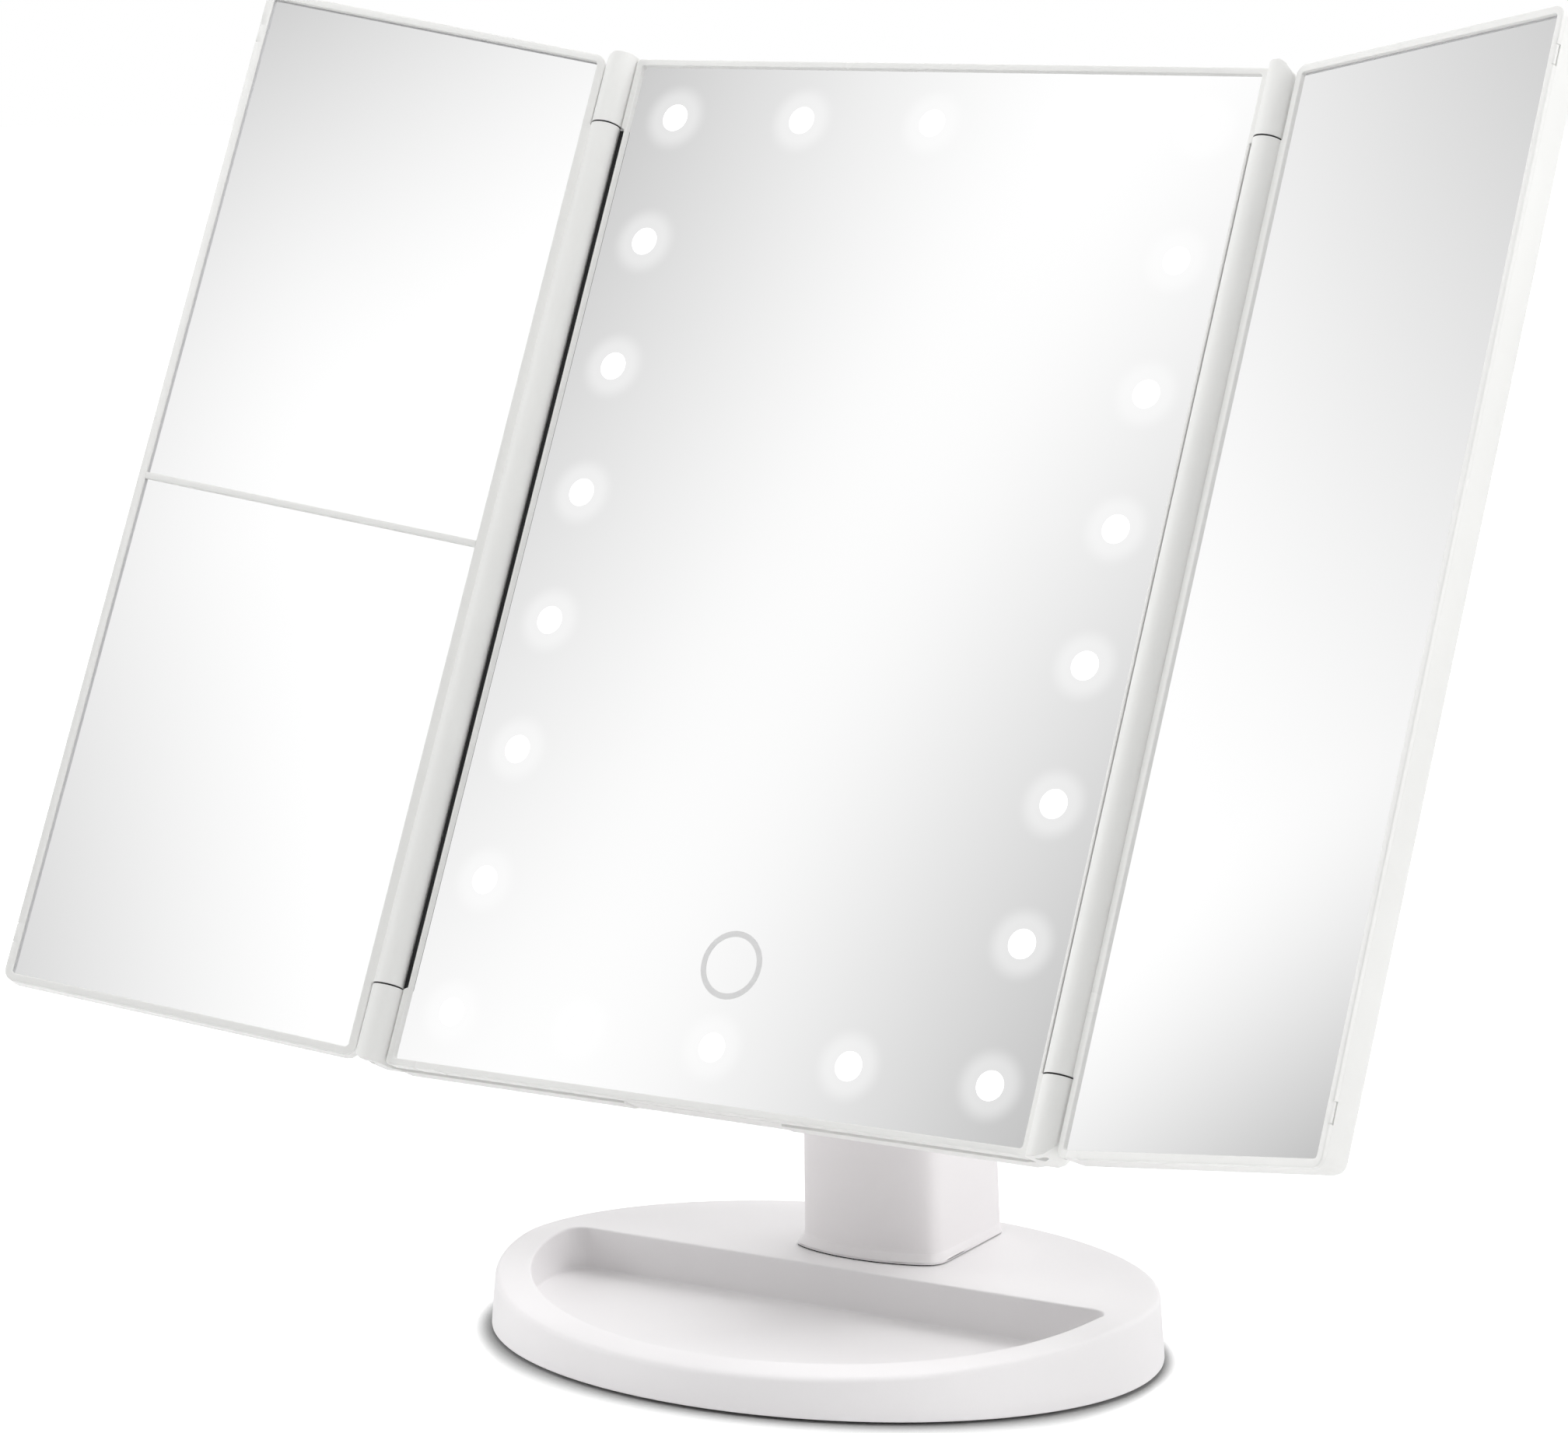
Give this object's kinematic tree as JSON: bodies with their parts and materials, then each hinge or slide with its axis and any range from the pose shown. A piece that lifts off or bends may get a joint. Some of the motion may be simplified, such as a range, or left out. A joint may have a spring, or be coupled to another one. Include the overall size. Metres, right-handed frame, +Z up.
{
  "type": "folding lighted makeup mirror",
  "caption": "Folding tabletop makeup mirror: a lighted centre pane with hinged side wings tilts on a column above an oval base with a sunken tray.",
  "frame": {"origin": "on the table under the middle of the whole object", "axes": "+X to the user's right, -Y towards the user, +Z up"},
  "size_m": [0.328, 0.1472, 0.2933],
  "materials": {
    "shell_plastic": "satin white, moulded",
    "frame_plastic": "white, moulded",
    "silvered_glass": "silvered behind, polished",
    "pad_rubber": "matt",
    "cell_can": "wrapped",
    "plated_sheet": "nickel plated",
    "copper_pad": "bare",
    "circuit_board": "solder mask",
    "lamp_board": "white solder mask",
    "diffuser_sheet": "opal",
    "dark_plastic": "moulded",
    "washer_plastic": "moulded",
    "steel": "zinc plated",
    "ballast_steel": "raw"
  },
  "bodies": {
    "stand": {"ballast_plate": "ballast_steel", "base_bottom_plate": "shell_plastic", "base_screw_1": "steel", "base_screw_2": "steel", "base_screw_3": "steel", "base_screw_4": "steel", "base_shell": "shell_plastic", "battery_cell_1": "cell_can", "battery_cell_2": "cell_can", "battery_cell_3": "cell_can", "battery_cell_4": "cell_can", "battery_holder": "dark_plastic", "contact_strip_bottom": "plated_sheet", "contact_strip_top": "plated_sheet", "foot_pad_1": "pad_rubber", "foot_pad_2": "pad_rubber", "foot_pad_3": "pad_rubber", "foot_pad_4": "pad_rubber", "neck_lock_plate": "shell_plastic", "neck_screw_1": "steel", "neck_screw_2": "steel", "neck_shell": "shell_plastic", "power_board": "circuit_board", "switch_body": "dark_plastic", "usb_socket": "plated_sheet"},
    "battery_door": {"battery_door": "shell_plastic"},
    "power_switch": {"switch_slider": "dark_plastic"},
    "head": {"head_back_shell": "shell_plastic", "head_front_bezel": "frame_plastic", "centre_mirror": "silvered_glass", "light_diffuser": "diffuser_sheet", "led_board": "lamp_board", "touch_pad": "copper_pad", "control_board": "circuit_board", "tilt_axle": "steel", "tilt_nut": "steel", "tilt_washer_left": "washer_plastic", "tilt_washer_right": "washer_plastic", "hinge_pin_left_bottom": "steel", "hinge_pin_left_top": "steel", "hinge_pin_right_bottom": "steel", "hinge_pin_right_top": "steel"},
    "left_wing": {"left_wing_shell": "shell_plastic", "left_wing_bezel": "frame_plastic", "left_upper_mirror": "silvered_glass", "left_lower_mirror": "silvered_glass"},
    "right_wing": {"right_wing_shell": "shell_plastic", "right_wing_bezel": "frame_plastic", "right_mirror": "silvered_glass"}
  },
  "joints": [
    {"name": "head_tilt", "type": "hinge", "parent": "stand", "child": "head", "pos_m": [-0.00068, 0.02462, 0.1226], "axis": [-1, 0, 0], "range_deg": [-29.8, 45.2]},
    {"name": "left_wing_fold", "type": "hinge", "parent": "head", "child": "left_wing", "pos_m": [-0.08548, 0.00931, 0.1703], "axis": [0, 0.4191, 0.9079], "range_deg": [-26.3, 153.7]},
    {"name": "right_wing_fold", "type": "hinge", "parent": "head", "child": "right_wing", "pos_m": [0.08412, 0.00931, 0.1703], "axis": [0, -0.4191, -0.9079], "range_deg": [-23.7, 156.3]},
    {"name": "power_switch_slide", "type": "slide", "parent": "stand", "child": "power_switch", "axis": [1, 0, 0], "range_m": [0, 0.002]},
    {"name": "battery_door_off", "type": "slide", "parent": "stand", "child": "battery_door", "axis": [0, 1, 0], "range_m": [0, 0.03]}
  ]
}
